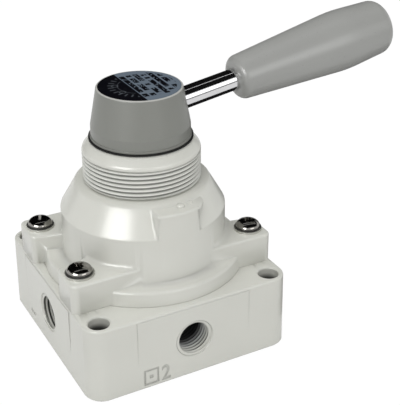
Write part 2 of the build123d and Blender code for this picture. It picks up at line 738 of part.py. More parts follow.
def hub_label():
    """The thin disc that closes the hub's recess."""
    return column(LABEL_R, HUB_TOP - LABEL_T, HUB_TOP)


# ---------------------------------------------------------------- lever
def lever_rod():
    """Plated rod with a thinner threaded end in the hub."""
    shoulder = ROD_START + ROD_THREAD_L
    rod = column(ROD_THREAD_R, ROD_START, shoulder) + column(ROD_R, shoulder, ROD_END)
    return lever_place() * chamfer(circle_edges(rod, ROD_END, ROD_R), ROD_CHAMFER)


def insert_span():
    """Where the knob's insert starts and ends along the rod."""
    start = ROD_END - INSERT_L
    return start, ROD_END


def knob():
    """The grip: a long and a short cone that meet in a soft ridge near the far end."""
    grip = turned([
        (0, KNOB_START), (KNOB_START_R, KNOB_START, KNOB_START_FILLET),
        (KNOB_MAX_R, KNOB_MAX_S, KNOB_MAX_BLEND), (KNOB_END_R, KNOB_END, KNOB_END_FILLET), (0, KNOB_END),
    ])
    low, high = insert_span()
    grip -= column(ROD_R + SEAT_GAP, KNOB_START, ROD_END + FACE_GAP)
    grip -= column(INSERT_R + SEAT_GAP, low, high)
    return lever_place() * grip


def knob_insert():
    """The metal sleeve inside the grip that the rod is held by."""
    low, high = insert_span()
    return lever_place() * ring(INSERT_R, ROD_R + SEAT_GAP, low, high)


PARTS = {
    "base_body": base_body,
    "bonnet": bonnet,
    "cover_screws": cover_screws,
    "screw_washers": screw_washers,
    "body_o_ring": body_o_ring,
    "port_gasket": lambda: seat_disc(GASKET_T, GASKET_LOW),
    "seat_plate": lambda: seat_disc(SEAT_T, SEAT_LOW),
    "seat_dowels": seat_dowels,
    "detent_plate": detent_plate,
    "detent_plate_screws": detent_plate_screws,
    "stop_pin": stop_pin,
    "thrust_washer": thrust_washer,
    "shaft_bush": shaft_bush,
    "dust_ring": dust_ring,
    "valve_rotor": valve_rotor,
    "drive_pins": drive_pins,
    "rotor_spring": rotor_spring,
    "spindle": spindle,
    "shaft_o_ring": shaft_o_ring,
    "hub": hub,
    "hub_washer": hub_washer,
    "hub_screw": hub_screw,
    "hub_label": hub_label,
    "lever_rod": lever_rod,
    "knob": knob,
    "knob_insert": knob_insert,
    "detent_ball": detent_ball,
    "detent_spring": detent_spring,
}


def main():
    """Build every piece and write it as parts/NAME.step."""
    os.makedirs("parts", exist_ok=True)
    for name, build in PARTS.items():
        made = build()
        if isinstance(made, list):
            made = Compound(children=made)
        export_step(made, f"parts/{name}.step")


if __name__ == "__main__":
    main()
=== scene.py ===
import json
import logging
import math
from dataclasses import dataclass
from enum import Enum
from typing import Dict, List, Optional, Sequence, Tuple, Union

import bmesh
import bpy
from mathutils import Matrix, Vector

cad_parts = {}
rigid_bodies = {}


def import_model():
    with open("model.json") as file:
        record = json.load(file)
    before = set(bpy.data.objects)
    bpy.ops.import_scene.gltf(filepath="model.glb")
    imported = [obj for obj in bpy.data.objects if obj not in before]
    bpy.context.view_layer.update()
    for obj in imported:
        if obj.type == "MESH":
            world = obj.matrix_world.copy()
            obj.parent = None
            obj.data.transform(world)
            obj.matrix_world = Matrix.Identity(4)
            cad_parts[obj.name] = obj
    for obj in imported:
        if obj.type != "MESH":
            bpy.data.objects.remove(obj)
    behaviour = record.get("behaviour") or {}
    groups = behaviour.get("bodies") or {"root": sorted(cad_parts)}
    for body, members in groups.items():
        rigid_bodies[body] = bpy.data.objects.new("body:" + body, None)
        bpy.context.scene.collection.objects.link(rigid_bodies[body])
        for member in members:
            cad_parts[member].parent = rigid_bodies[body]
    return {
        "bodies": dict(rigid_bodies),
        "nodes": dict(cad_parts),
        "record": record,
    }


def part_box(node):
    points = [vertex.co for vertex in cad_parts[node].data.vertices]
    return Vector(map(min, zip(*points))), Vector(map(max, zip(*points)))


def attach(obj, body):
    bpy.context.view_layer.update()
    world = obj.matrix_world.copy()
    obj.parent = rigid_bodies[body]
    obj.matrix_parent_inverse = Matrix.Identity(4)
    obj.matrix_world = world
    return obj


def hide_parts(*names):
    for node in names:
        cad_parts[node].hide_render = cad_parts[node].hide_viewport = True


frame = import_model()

log = logging.getLogger("valve")
MM = 0.001
SAME_PLACE = 0.0005 * MM
SQUARE_ON = 0.9998
FULL_TURN = 2 * math.pi
Colour = Tuple[float, float, float]


# ---------------------------------------------------------------- shader graph
class Graph:
    """A material's or a world's node tree."""

    def __init__(self, tree: bpy.types.NodeTree) -> None:
        """Empty the tree.

        Args:
            tree: The node tree to build in.
        """
        self.tree = tree
        tree.nodes.clear()

    def node(self, kind: str, settings: Optional[Dict] = None,
             inputs: Optional[Dict] = None) -> bpy.types.Node:
        """Add one node.

        Args:
            kind: The node's type name without its ShaderNode prefix.
            settings: Attributes set first, such as a Math node's operation.
            inputs: Socket names or numbers with their values or links.

        Returns:
            The new node.
        """
        made = self.tree.nodes.new("ShaderNode" + kind)
        for key, value in (settings or {}).items():
            setattr(made, key, value)
        for key, value in (inputs or {}).items():
            self.feed(made, key, value)
        return made

    def feed(self, made: bpy.types.Node, key: Union[str, int], value: object) -> None:
        """Set or link one input socket.

        Args:
            made: The node that owns the socket.
            key: The socket's name or number.
            value: A Value, a socket, or a plain number, colour or vector.
        """
        socket = made.inputs[key]
        if isinstance(value, Value):
            value = value.socket
        if isinstance(value, bpy.types.NodeSocket):
            self.tree.links.new(value, socket)
        elif isinstance(value, tuple) and len(value) == 3 and socket.type == "RGBA":
            socket.default_value = (*value, 1.0)
        else:
            socket.default_value = value

    def value(self, kind: str, settings: Optional[Dict] = None, inputs: Optional[Dict] = None,
              output: Union[str, int] = 0) -> "Value":
        """Add one node and wrap one of its outputs.

        Args:
            kind: The node's type name without its ShaderNode prefix.
            settings: Attributes set first.
            inputs: Socket names or numbers with their values or links.
            output: The output socket's name or number.

        Returns:
            The wrapped output.
        """
        return Value(self, self.node(kind, settings, inputs).outputs[output])

    def mix(self, factor: object, first: object, second: object) -> "Value":
        """Blend two colours.

        Args:
            factor: 0 gives the first colour, 1 the second.
            first: A colour or link.
            second: A colour or link.

        Returns:
            The blended colour.
        """
        settings = {"data_type": "RGBA"}
        return self.value("Mix", settings, {0: factor, 6: first, 7: second}, 2)

    def noise(self, place: "Value", per_mm: float, detail: float = 2.0) -> "Value":
        """Fractal noise in object space.

        Args:
            place: Coordinates in metres.
            per_mm: Features per millimetre.
            detail: Octaves.

        Returns:
            The noise, about 0 to 1.
        """
        inputs = {"Vector": place, "Scale": per_mm / MM, "Detail": detail}
        return self.value("TexNoise", {"noise_dimensions": "3D"}, inputs)

    def place(self) -> "Value":
        """Object coordinates in metres."""
        return self.value("TexCoord", None, None, "Object")

    def split(self, vector: "Value") -> Tuple["Value", "Value", "Value"]:
        """The three components of a vector."""
        made = self.node("SeparateXYZ", None, {0: vector})
        return tuple(Value(self, made.outputs[i]) for i in range(3))


class Value:
    """One output socket that can be used in arithmetic."""

    def __init__(self, graph: Graph, socket: bpy.types.NodeSocket) -> None:
        """Wrap a socket.

        Args:
            graph: The graph that holds it.
            socket: The output socket.
        """
        self.graph = graph
        self.socket = socket

    def _math(self, operation: str, *terms: object) -> "Value":
        """One Math node over the terms."""
        inputs = dict(enumerate(terms))
        return self.graph.value("Math", {"operation": operation}, inputs)

    def __add__(self, other: object) -> "Value":
        """Sum."""
        return self._math("ADD", self, other)

    __radd__ = __add__

    def __sub__(self, other: object) -> "Value":
        """Difference."""
        return self._math("SUBTRACT", self, other)

    def __rsub__(self, other: object) -> "Value":
        """Reflected difference."""
        return self._math("SUBTRACT", other, self)

    def __mul__(self, other: object) -> "Value":
        """Product."""
        return self._math("MULTIPLY", self, other)

    __rmul__ = __mul__

    def __truediv__(self, other: object) -> "Value":
        """Quotient."""
        return self._math("DIVIDE", self, other)

    def __abs__(self) -> "Value":
        """Magnitude."""
        return self._math("ABSOLUTE", self)

    def hypotenuse(self, other: "Value") -> "Value":
        """The long side of a right triangle whose short sides are the two."""
        return self._math("SQRT", self * self + other * other)

    def bearing(self, along: "Value") -> "Value":
        """The angle of the place (along, self), in radians."""
        return self._math("ARCTAN2", self, along)

    def floored(self) -> "Value":
        """The whole number at or under it."""
        return self._math("FLOOR", self)

    def rounded(self) -> "Value":
        """The nearest whole number."""
        return self._math("ROUND", self)

    def largest(self, other: object) -> "Value":
        """The larger of two."""
        return self._math("MAXIMUM", self, other)

    def smallest(self, other: object) -> "Value":
        """The smaller of two."""
        return self._math("MINIMUM", self, other)

    def below(self, edge: float, soft: float) -> "Value":
        """A mask that is 1 under an edge and 0 over it.

        Args:
            edge: Where the mask is half.
            soft: Half the width of its slope.

        Returns:
            The mask.
        """
        inputs = {"Value": self, 1: edge - soft, 2: edge + soft, 3: 1.0, 4: 0.0}
        return self.graph.value("MapRange", {"interpolation_type": "SMOOTHSTEP"}, inputs)

    def over(self, edge: float, soft: float) -> "Value":
        """A mask that is 0 under an edge and 1 over it."""
        return 1 - self.below(edge, soft)


@dataclass(frozen=True)
class Spot:
    """A place on a piece, in millimetres."""

    x: Value
    y: Value
    z: Value


# ---------------------------------------------------------------- finishes
def new_material(name: str) -> Tuple[bpy.types.Material, Graph]:
    """An empty material with the graph that fills it.

    Args:
        name: The material's name.

    Returns:
        The material and its graph.
    """
    made = bpy.data.materials.new(name)
    made.use_nodes = True
    return made, Graph(made.node_tree)


class Finish:
    """A surface that can be put on pieces; subclasses lay down its nodes."""

    def material(self, name: str) -> bpy.types.Material:
        """Build the finish as a material.

        Args:
            name: The material's name.

        Returns:
            The new material.
        """
        made, graph = new_material(name)
        shader = graph.node("BsdfPrincipled")
        graph.node("OutputMaterial", None, {"Surface": shader.outputs[0]})
        self.lay(graph, shader)
        return made

    def lay(self, graph: Graph, shader: bpy.types.Node) -> None:
        """Feed the shader's sockets.

        Args:
            graph: The material's graph.
            shader: Its Principled node.
        """
        raise NotImplementedError


def bumped(graph: Graph, height: object, depth: float, edge: float = 0.0) -> Value:
    """A surface normal raised by a height, on softened edges.

    Args:
        graph: The material's graph.
        height: The relief, 0 to 1.
        depth: The relief's depth in metres.
        edge: Radius in metres by which edges look rounded.

    Returns:
        The normal.
    """
    inputs = {"Height": height, "Distance": depth, "Strength": 1.0}
    if edge:
        inputs["Normal"] = graph.value("Bevel", {"samples": 6}, {"Radius": edge})
    return graph.value("Bump", None, inputs)


def mount(name: str) -> Dict:
    """The row of one of the record's mounts."""
    return next(row for row in frame["record"]["mounts"] if row["name"] == name)


@dataclass(frozen=True)
class PaintedCasting(Finish):
    """Glossy paint on a die casting: orange peel, slight clouding, specks, bare metal in the tapped ports.

    Painted shade darkens the neck's grooves, the sunk marks, the holes and the ports, and a painted highlight
    lightens the neck thread's crests. Lengths are in millimetres, apart from edge and peel_depth.
    """

    colour: Colour = (0.610, 0.612, 0.565)
    shade: Colour = (0.545, 0.547, 0.500)
    # painted shade for the neck's grooves and the sunk marks
    painted_shade: Colour = (0.215, 0.220, 0.205)
    metal: Colour = (0.52, 0.53, 0.52)
    # painted shade for the holes and ports, then a painted highlight for the neck thread's crests
    pit_shade: Colour = (0.010, 0.011, 0.011)
    crest: Colour = (0.72, 0.725, 0.685)
    roughness: float = 0.22
    peel_depth: float = 0.016 * MM
    edge: float = 0.60 * MM
    neck_bore: float = 17.5
    groove_under: float = 0.58
    sunk_span: Tuple[float, float] = (-37.66, -37.20)
    sunk_top: float = 8.0
    sunk_middle: float = -13.6
    sunk_half: float = 8.0
    half_base: float = 37.8
    port_root: float = 6.20

    def lay(self, graph: Graph, shader: bpy.types.Node) -> None:
        """Feed the paint's colour, gloss and peel.

        Args:
            graph: The material's graph.
            shader: Its Principled node.
        """
        place = graph.place()
        spot = Spot(*(axis / MM for axis in graph.split(place)))
        cloud = graph.noise(place, 0.035, 3.0)
        grit = graph.noise(place, 2.6, 1.0)
        peel = graph.noise(place, 0.9, 2.0)
        speck = grit.over(0.735, 0.02) * 0.35
        paint = graph.mix((cloud - 0.35) * 1.1 + speck, self.colour, self.shade)
        for tinted in (self.neck, self.marks, self.holes):
            paint = tinted(graph, spot, paint)
        tone, bare = self.ports(graph, spot, paint)
        graph.feed(shader, "Base Color", tone)
        graph.feed(shader, "Metallic", bare * 0.5)
        graph.feed(shader, "Roughness", (peel - 0.5) * 0.08 + self.roughness + cloud * 0.05 + bare * 0.40)
        relief = peel * 0.75 + grit * 0.25
        graph.feed(shader, "Normal", bumped(graph, relief, self.peel_depth, self.edge))
        graph.feed(shader, "Specular IOR Level", 0.55)

    def neck(self, graph: Graph, spot: Spot, paint: Value) -> Value:
        """A painted highlight on the neck thread's crests and painted shade in its grooves.

        Args:
            graph: The material's graph.
            spot: The place on the casting.
            paint: The colour so far.

        Returns:
            The colour with the thread's painted highlight and painted shade.
        """
        row = mount("panel_thread")
        outside, half = row["dims"]["r_mm"], row["dims"]["length_mm"] / 2
        radius = spot.x.hypotenuse(spot.y)
        threaded = abs(spot.z - row["pos_m"][2] / MM).below(half - 0.1, 0.05)
        in_groove = radius.below(outside - self.groove_under, 0.22)
        crest = threaded * (1 - in_groove) * radius.below(outside + 0.1, 0.02)
        groove_shade = threaded * in_groove * radius.over(self.neck_bore, 0.1)
        # painted highlight on the crests, painted shade in the grooves
        paint = graph.mix(crest, paint, self.crest)
        return graph.mix(groove_shade * 0.78, paint, self.painted_shade)

    def marks(self, graph: Graph, spot: Spot, paint: Value) -> Value:
        """Painted shade in the marks sunk into the front.

        Args:
            graph: The material's graph.
            spot: The place on the casting.
            paint: The colour so far.

        Returns:
            The colour with the marks' painted shade.
        """
        outer, inner = self.sunk_span
        # painted shade on the floor and walls of the sunk marks
        deep = spot.y.over(outer, 0.03) * spot.y.below(inner, 0.05)
        near = abs(spot.x - self.sunk_middle).below(self.sunk_half, 0.1) * spot.z.below(self.sunk_top, 0.1)
        return graph.mix(deep * near * 0.36, paint, self.painted_shade)

    def holes(self, graph: Graph, spot: Spot, paint: Value) -> Value:
        """Painted shade in the mounting holes, growing with their depth.

        Args:
            graph: The material's graph.
            spot: The place on the casting.
            paint: The colour so far.

        Returns:
            The colour with the holes' painted shade.
        """
        row = mount("mounting_holes")
        dims = row["dims"]
        off_x = abs(spot.x) - dims["spacing_x_mm"] / 2
        off_y = abs(spot.y) - dims["spacing_y_mm"] / 2
        depth = row["pos_m"][2] / MM - spot.z
        # painted shade that deepens down the mounting holes
        sink_shade = depth.over(3.3, 1.3) * off_x.hypotenuse(off_y).below(dims["hole_r_mm"] + 0.1, 0.05)
        return graph.mix(sink_shade * 0.9, paint, self.pit_shade)

    def ports(self, graph: Graph, spot: Spot, paint: Value) -> Tuple[Value, Value]:
        """Ports that are painted at the mouth, then bare metal; painted shade darkens their thread roots and
        grows with their depth.

        Args:
            graph: The material's graph.
            spot: The place on the casting.
            paint: The colour so far.

        Returns:
            The colour with the ports' painted shade, and the mask of bare metal.
        """
        row = mount("port_front")
        rise = spot.z - row["pos_m"][2] / MM
        to_axis = spot.x.hypotenuse(rise).smallest(spot.y.hypotenuse(rise))
        depth = self.half_base - abs(spot.x).largest(abs(spot.y))
        inside = to_axis.below(row["dims"]["r_mm"] + 0.03, 0.015)
        root = to_axis.over(self.port_root, 0.25)
        # painted shade in the thread roots near the mouth; deeper in, the bare metal turns to painted shade
        # with depth
        paint = graph.mix(root * inside * 0.9 * depth.over(1.5, 0.3), paint, self.pit_shade)
        tapped = graph.mix(root * 0.95, self.metal, self.pit_shade)
        tapped = graph.mix(depth.over(6.9, 2.3), tapped, self.pit_shade)
        bare = inside * depth.over(4.2, 1.6)
        return graph.mix(bare, paint, tapped), bare


@dataclass(frozen=True)
class MouldedPlastic(Finish):
    """Satin moulded plastic: an even colour with an eroded grain and a faint flow cloud.

    Where a height is given, in millimetres, it is painted paler over it: a painted highlight on its top rim.
    """

    colour: Colour
    roughness: float = 0.42
    grain_per_mm: float = 1.8
    grain_depth: float = 0.012 * MM
    edge: float = 0.25 * MM
    painted_highlight_over: Optional[float] = None
    worn: Colour = (0.60, 0.60, 0.57)

    def lay(self, graph: Graph, shader: bpy.types.Node) -> None:
        """Feed the plastic's colour, gloss and grain.

        Args:
            graph: The material's graph.
            shader: Its Principled node.
        """
        place = graph.place()
        cloud = graph.noise(place, 0.05, 2.0)
        grain = graph.noise(place, self.grain_per_mm, 3.0)
        dark = tuple(c * 0.88 for c in self.colour)
        tone = graph.mix(cloud * 0.8 + grain * 0.15, self.colour, dark)
        # painted highlight: the top rim is painted paler over a given height
        if self.painted_highlight_over is not None:
            height = graph.split(place)[2] / MM
            tone = graph.mix(height.over(self.painted_highlight_over, 0.08) * 0.6, tone, self.worn)
        graph.feed(shader, "Base Color", tone)
        graph.feed(shader, "Roughness", (grain - 0.5) * 0.14 + self.roughness)
        graph.feed(shader, "Normal", bumped(graph, grain, self.grain_depth, self.edge))


class Lay(Enum):
    """The way that a metal's finest marks run."""

    AROUND_Z = "around"
    ALONG = "along"
    NONE = "none"


@dataclass(frozen=True)
class PlatedMetal(Finish):
    """Polished, plated or machined metal with fine marks and a little clouding.

    Where a height is given, in millimetres, it is darkened under it by painted shade.
    """

    colour: Colour
    roughness: float = 0.08
    marks: Lay = Lay.NONE
    mark_depth: float = 0.001 * MM
    clouding: float = 0.06
    painted_shade_under: Optional[float] = None
    dark: Colour = (0.012, 0.012, 0.012)

    def lay(self, graph: Graph, shader: bpy.types.Node) -> None:
        """Feed the metal's colour, gloss and marks.

        Args:
            graph: The material's graph.
            shader: Its Principled node.
        """
        place = graph.place()
        x, y, z = graph.split(place)
        cloud = graph.noise(place, 0.12, 3.0)
        if self.marks is Lay.AROUND_Z:
            along = graph.value("CombineXYZ", None, {"X": x.hypotenuse(y), "Y": z, "Z": 0.0})
            marks = graph.noise(along, 7.0, 2.0)
        elif self.marks is Lay.ALONG:
            along = graph.value("CombineXYZ", None, {"X": x * 0.02, "Y": y, "Z": z})
            marks = graph.noise(along, 9.0, 2.0)
        else:
            marks = graph.noise(place, 3.0, 2.0)
        dull = tuple(c * 0.82 for c in self.colour)
        tone = graph.mix(cloud * 0.7, self.colour, dull)
        # painted shade: the metal turns dark under a given height, as under a screw head's rim
        if self.painted_shade_under is not None:
            tone = graph.mix((z / MM).below(self.painted_shade_under, 0.25) * 0.85, tone, self.dark)
        cloudy = (cloud - 0.4).largest(0.0) * self.clouding
        graph.feed(shader, "Metallic", 1.0)
        graph.feed(shader, "Base Color", tone)
        graph.feed(shader, "Roughness", self.roughness + cloudy + marks * 0.03)
        graph.feed(shader, "Normal", bumped(graph, marks, self.mark_depth))


@dataclass(frozen=True)
class Elastomer(Finish):
    """Matt rubber with a fine moulded texture and a dusty bloom."""

    colour: Colour = (0.012, 0.012, 0.012)
    bloom: Colour = (0.022, 0.022, 0.021)
    texture_depth: float = 0.006 * MM

    def lay(self, graph: Graph, shader: bpy.types.Node) -> None:
        """Feed the rubber's colour, gloss and texture.

        Args:
            graph: The material's graph.
            shader: Its Principled node.
        """
        place = graph.place()
        cloud = graph.noise(place, 0.2, 3.0)
        grain = graph.noise(place, 4.0, 2.0)
        graph.feed(shader, "Base Color", graph.mix(cloud * 0.6, self.colour, self.bloom))
        graph.feed(shader, "Roughness", grain * 0.15 + 0.55)
        graph.feed(shader, "Normal", bumped(graph, grain, self.texture_depth))
        graph.feed(shader, "Specular IOR Level", 0.15)


@dataclass(frozen=True)
class PrintedFilm(Finish):
    """A satin film: a black field with a plain scale, and rows of plain blocks on silver-blue.

    Lengths are in millimetres from the hub's axis, apart from film_depth.
    """

    field: Colour = (0.118, 0.146, 0.180)
    ink: Colour = (0.004, 0.004, 0.006)
    pale: Colour = (0.42, 0.47, 0.52)
    worn: Colour = (0.20, 0.21, 0.22)
    black_until: float = -3.24
    print_radius: float = 12.2
    print_half: float = 10.2
    row_pitch: float = 2.45
    row_shift: float = 0.37
    block_pitch: float = 1.5
    bar_half: float = 0.90
    chips_per_mm: Tuple[float, float] = (2.1, 2.6)
    scale_radius: float = 9.4
    ticks: int = 28
    arc_inset: float = 2.2
    ring_place: Tuple[float, float] = (-7.4, 3.1)
    ring_radius: float = 1.0
    film_depth: float = 0.004 * MM

    def lay(self, graph: Graph, shader: bpy.types.Node) -> None:
        """Feed the print's colours and the film's gloss.

        Args:
            graph: The material's graph.
            shader: Its Principled node.
        """
        place = graph.place()
        x, y, _ = (axis / MM for axis in graph.split(place))
        dark = x.below(self.black_until, 0.06)
        tone = graph.mix(dark, self.field, self.ink)
        tone = graph.mix(self.blocks(graph, x, y) * (1 - dark), tone, self.ink)
        tone = graph.mix(self.scale(x, y) * dark * 0.17, tone, self.pale)
        wear = graph.noise(place, 0.5, 3.0)
        tone = graph.mix((wear - 0.5).largest(0.0) * 0.06, tone, self.worn)
        graph.feed(shader, "Base Color", tone)
        graph.feed(shader, "Roughness", wear * 0.12 + 0.34)
        graph.feed(shader, "Normal", bumped(graph, wear, self.film_depth))
        graph.feed(shader, "Specular IOR Level", 0.01)

    def blocks(self, graph: Graph, x: Value, y: Value) -> Value:
        """Rows of plain blocks, some left out and some chipped.

        Args:
            graph: The material's graph.
            x: Place along X.
            y: Place along Y.

        Returns:
            The mask of their ink.
        """
        row = (x - self.black_until) / self.row_pitch
        number = row.floored()
        in_row = abs((row - number - 0.5) * self.row_pitch)
        cell = (y / self.block_pitch + number * self.row_shift).floored()
        kept = self.chance(graph, cell, number, 4.0).over(0.20, 0.01)
        chips_y, chips_x = self.chips_per_mm
        whole = self.chance(graph, (y * chips_y).floored(), (x * chips_x).floored(), 9.0).over(0.12, 0.01)
        printed = x.hypotenuse(y).below(self.print_radius, 0.06) * abs(y).below(self.print_half, 0.1)
        return in_row.below(self.bar_half, 0.07) * kept * whole * printed

    def chance(self, graph: Graph, first: Value, second: Value, pattern: float) -> Value:
        """A number from 0 to 1 that is even over each cell of a grid and differs from cell to cell.

        Args:
            graph: The material's graph.
            first: The cell's number one way.
            second: The cell's number the other way.
            pattern: Which of the patterns to take.

        Returns:
            The number.
        """
        cell = graph.value("CombineXYZ", None, {"X": first, "Y": second, "Z": pattern})
        return graph.value("TexWhiteNoise", {"noise_dimensions": "3D"}, {"Vector": cell})

    def scale(self, x: Value, y: Value) -> Value:
        """A half ring of ticks, an arc inside it and two small rings.

        Args:
            x: Place along X.
            y: Place along Y.

        Returns:
            The mask of their pale ink.
        """
        radius = x.hypotenuse(y)
        from_scale = radius - self.scale_radius
        turn = y.bearing(x) * (self.ticks / FULL_TURN)
        tick = abs(turn - turn.rounded()).below(0.13, 0.04) * abs(from_scale).below(1.0, 0.06)
        arc = abs(from_scale + self.arc_inset).below(0.13, 0.05)
        ring_x, ring_y = self.ring_place
        from_ring = (x - ring_x).hypotenuse(abs(y) - ring_y)
        ring = abs(from_ring - self.ring_radius).below(0.22, 0.06)
        marks = (tick * 0.75 + arc * 0.6 + ring * 0.6).smallest(1.0)
        return marks * x.below(self.black_until - 0.9, 0.1)


FINISHES: Dict[str, Finish] = {
    "painted_casting": PaintedCasting(),
    "painted_thread": PaintedCasting(edge=0.0),
    # The hub's top rim gets a painted highlight.
    "hub_plastic": MouldedPlastic(
        (0.218, 0.223, 0.203), 0.32, edge=0.30 * MM, painted_highlight_over=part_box("hub")[1].z / MM - 0.28,
    ),
    "grip_plastic": MouldedPlastic((0.322, 0.325, 0.312), 0.30, 1.4, 0.005 * MM),
    "chrome_rod": PlatedMetal((0.78, 0.78, 0.79), 0.05, Lay.ALONG),
    # Painted shade under the screw heads' rims; the plate is also darker than the plating, standing in for
    # the dark reflections on the heads.
    "plated_screw": PlatedMetal(
        (0.30, 0.29, 0.27), 0.09, painted_shade_under=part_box("screw_washers")[1].z / MM + 0.75,
    ),
    "plated_washer": PlatedMetal((0.56, 0.56, 0.52), 0.50),
    "hard_steel": PlatedMetal((0.50, 0.50, 0.51), 0.24, Lay.AROUND_Z, 0.003 * MM),
    "spring_steel": PlatedMetal((0.36, 0.36, 0.37), 0.30),
    "black_rubber": Elastomer(),
    "white_acetal": MouldedPlastic((0.78, 0.77, 0.71), 0.35, 1.2, 0.006 * MM),
    "bronze": PlatedMetal((0.50, 0.33, 0.16), 0.32, Lay.AROUND_Z, 0.003 * MM),
    "label_print": PrintedFilm(),
}
MATERIALS: Dict[str, bpy.types.Material] = {}


def finish_of(name: str) -> bpy.types.Material:
    """The material of one of the finishes, built once.

    Args:
        name: The finish's name; the record's slots have finishes of their own names.

    Returns:
        The material.
    """
    if name not in MATERIALS:
        MATERIALS[name] = FINISHES[name].material(name)
    return MATERIALS[name]


# ---------------------------------------------------------------- mesh helpers
def put(name: str, data: bpy.types.ID) -> bpy.types.Object:
    """Make an object and link it to the scene.

    Args:
        name: The object's name.
        data: Its mesh, curve, light or camera.

    Returns:
        The new object.
    """
    made = bpy.data.objects.new(name, data)
    bpy.context.scene.collection.objects.link(made)
    return made


def as_mesh(work: bmesh.types.BMesh, name: str) -> bpy.types.Mesh:
    """Turn a bmesh into a mesh.

    Args:
        work: The bmesh; it is freed.
        name: The mesh's name.

    Returns:
        The new mesh.
    """
    mesh = bpy.data.meshes.new(name)
    work.to_mesh(mesh)
    work.free()
    return mesh


def added(work: bmesh.types.BMesh, mesh: bpy.types.Mesh) -> List[bmesh.types.BMVert]:
    """Add a mesh to a bmesh.

    Args:
        work: The bmesh to add to.
        mesh: The mesh, which stays as it is.

    Returns:
        The new vertices.
    """
    before = set(work.verts)
    work.from_mesh(mesh)
    return [v for v in work.verts if v not in before]


def merged_copy(node: str) -> bmesh.types.BMesh:
    """A closed working copy of a CAD node's mesh.

    Args:
        node: The node's name.

    Returns:
        The copy, its doubled corners merged.
    """
    work = bmesh.new()
    work.from_mesh(frame["nodes"][node].data)
    bmesh.ops.remove_doubles(work, verts=work.verts, dist=SAME_PLACE)
    bmesh.ops.dissolve_degenerate(work, dist=0.0002 * MM, edges=work.edges)
    return work


def piece(work: bmesh.types.BMesh, name: str, slot: str, body: str, sharp_deg: float = 40.0,
          replaced: Sequence[str] = (), finish: Optional[str] = None,
          flat_sides: bool = False) -> bpy.types.Object:
    """Turn a finished bmesh into a piece of the valve.

    Args:
        work: The mesh, in the row frame; it is freed.
        name: The piece's name.
        slot: The record's material slot.
        body: The CAD body that it moves with.
        sharp_deg: Edges over this angle stay sharp.
        replaced: CAD nodes that it stands for.
        finish: The finish, where it isn't the slot's own.
        flat_sides: Shade faces that look along X or Y as flat, such as drafted sides.

    Returns:
        The new object.
    """
    bmesh.ops.recalc_face_normals(work, faces=work.faces)
    for face in work.faces:
        face.smooth = True
    mesh = as_mesh(work, name)
    mesh.set_sharp_from_angle(angle=math.radians(sharp_deg))
    if flat_sides:
        for face in mesh.polygons:
            face.use_smooth = max(abs(face.normal.x), abs(face.normal.y)) < SQUARE_ON
    mesh.materials.append(finish_of(finish or slot))
    made = put(name, mesh)
    if replaced:
        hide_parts(*replaced)
        even = made.modifiers.new("even_shading", "WEIGHTED_NORMAL")
        even.keep_sharp = True
        even.weight = 90
    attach(made, body)
    log.info("%s: %d faces on %s", name, len(mesh.polygons), body)
    return made


def turned(work: bmesh.types.BMesh, outline: Sequence[Tuple[float, float]], steps: int,
           rise: float = 0.0, closed: bool = True) -> List[bmesh.types.BMVert]:
    """Spin a (radius, height) outline in metres about Z.

    Args:
        work: The mesh to add to.
        outline: The profile's corners.
        steps: Faces round the turn.
        rise: Height gained over the turn, as on a thread.
        closed: Join the last corner to the first.

    Returns:
        The new vertices.
    """
    before = set(work.verts)
    corners = [work.verts.new((radius, 0.0, height)) for radius, height in outline]
    pairs = list(zip(corners, corners[1:]))
    if closed:
        pairs.append((corners[-1], corners[0]))
    edges = [work.edges.new(pair) for pair in pairs]
    bmesh.ops.spin(
        work, geom=corners + edges, cent=(0, 0, 0), axis=(0, 0, 1), dvec=(0, 0, rise / steps),
        angle=FULL_TURN, steps=steps, use_merge=rise == 0.0,
    )
    fresh = [v for v in work.verts if v not in before]
    bmesh.ops.remove_doubles(work, verts=fresh, dist=SAME_PLACE)
    return [v for v in work.verts if v not in before]


def placed(work: bmesh.types.BMesh, verts: Sequence[bmesh.types.BMVert], matrix: Matrix) -> None:
    """Move vertices by a matrix."""
    bmesh.ops.transform(work, matrix=matrix, verts=list(verts))


def sliced(work: bmesh.types.BMesh, height: float, drop_over: bool = False, drop_under: bool = False) -> None:
    """Cut through a mesh at one height.

    Args:
        work: The mesh.
        height: The cut's height in metres.
        drop_over: Take away what is over the cut.
        drop_under: Take away what is under the cut.
    """
    geom = [*work.verts, *work.edges, *work.faces]
    bmesh.ops.bisect_plane(
        work, geom=geom, dist=0.0001 * MM, plane_co=(0, 0, height), plane_no=(0, 0, 1),
        clear_outer=drop_over, clear_inner=drop_under,
    )


def walled(work: bmesh.types.BMesh, heights: Tuple[float, float], radius: float) -> None:
    """Close the open loops at two heights with ledges and a plain round wall between them.

    Args:
        work: The mesh.
        heights: Where the two loops lie, in metres.
        radius: The wall's radius in metres.
    """
    slack = 0.002 * MM
    rims = []
    for height in heights:
        loop = [
            edge for edge in work.edges
            if edge.is_boundary and all(abs(v.co.z - height) < slack for v in edge.verts)
        ]
        made = bmesh.ops.extrude_edge_only(work, edges=loop)["geom"]
        for vert in [g for g in made if isinstance(g, bmesh.types.BMVert)]:
            vert.co.xy = vert.co.xy.normalized() * radius
        rims += [g for g in made if isinstance(g, bmesh.types.BMEdge) and g.is_boundary]
    bmesh.ops.bridge_loops(work, edges=rims)


def for_a_moment(work: bmesh.types.BMesh, name: str) -> bpy.types.Object:
    """Put a bmesh in the scene as a helper object; the caller removes it."""
    bmesh.ops.recalc_face_normals(work, faces=work.faces)
    return put(name, as_mesh(work, name))


